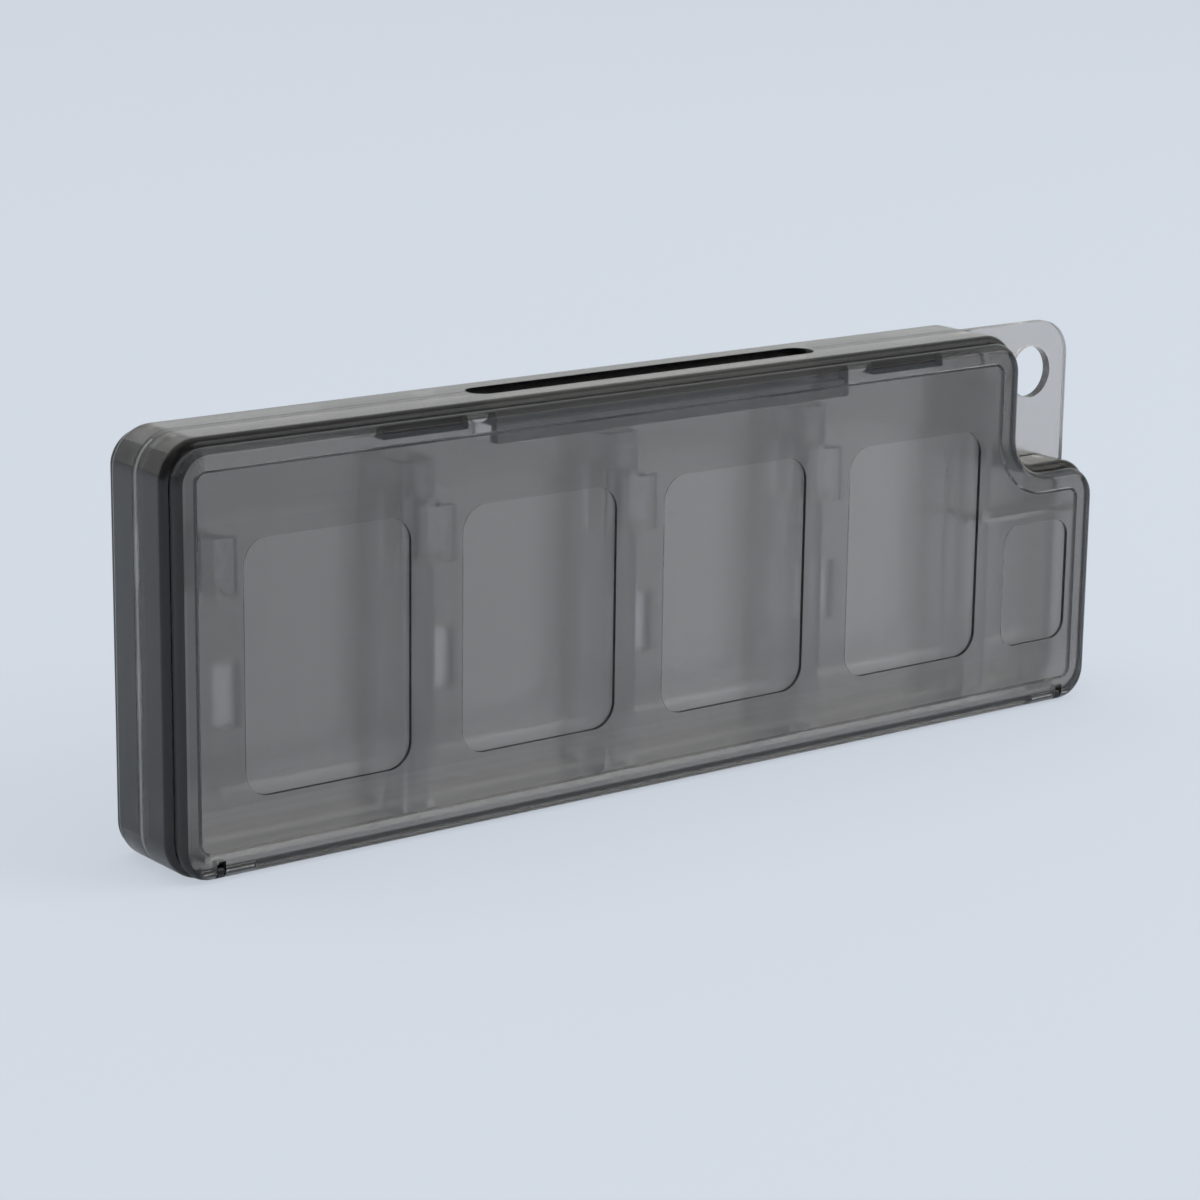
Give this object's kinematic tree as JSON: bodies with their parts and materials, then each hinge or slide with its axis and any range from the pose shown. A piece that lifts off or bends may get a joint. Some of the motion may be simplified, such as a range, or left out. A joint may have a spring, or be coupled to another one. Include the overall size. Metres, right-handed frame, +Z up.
{
  "type": "game card case",
  "caption": "Flat double-sided case of smoke-clear plastic: card pockets on both faces under hinged lids with label recesses, a release slot on top and a lanyard tab at one corner.",
  "frame": {"origin": "under the middle of the case, on the surface that its long bottom edge stands on", "axes": "+X along the length towards the lanyard tab, +Y from the front lid to the rear lid, +Z up from the hinge edge to the latch edge"},
  "size_m": [0.146, 0.0158, 0.052],
  "materials": {
    "tray_plastic": "clear smoke grey, gloss",
    "frame_plastic": "clear smoke grey, gloss",
    "lid_plastic": "clear smoke grey, satin face",
    "pin_steel": "drawn wire, dark"
  },
  "bodies": {
    "case": {"card_tray": "tray_plastic", "front_frame": "frame_plastic", "rear_frame": "frame_plastic"},
    "front_lid": {"front_lid": "lid_plastic", "front_hinge_pin_left": "pin_steel", "front_hinge_pin_right": "pin_steel"},
    "rear_lid": {"rear_lid": "lid_plastic", "rear_hinge_pin_left": "pin_steel", "rear_hinge_pin_right": "pin_steel"}
  },
  "joints": [
    {"name": "front_lid_hinge", "type": "hinge", "parent": "case", "child": "front_lid", "pos_m": [0, -0.007, 0.0011], "axis": [1, 0, 0], "range_deg": [0, 180]},
    {"name": "rear_lid_hinge", "type": "hinge", "parent": "case", "child": "rear_lid", "pos_m": [0, 0.007, 0.0011], "axis": [-1, 0, 0], "range_deg": [0, 180]}
  ]
}
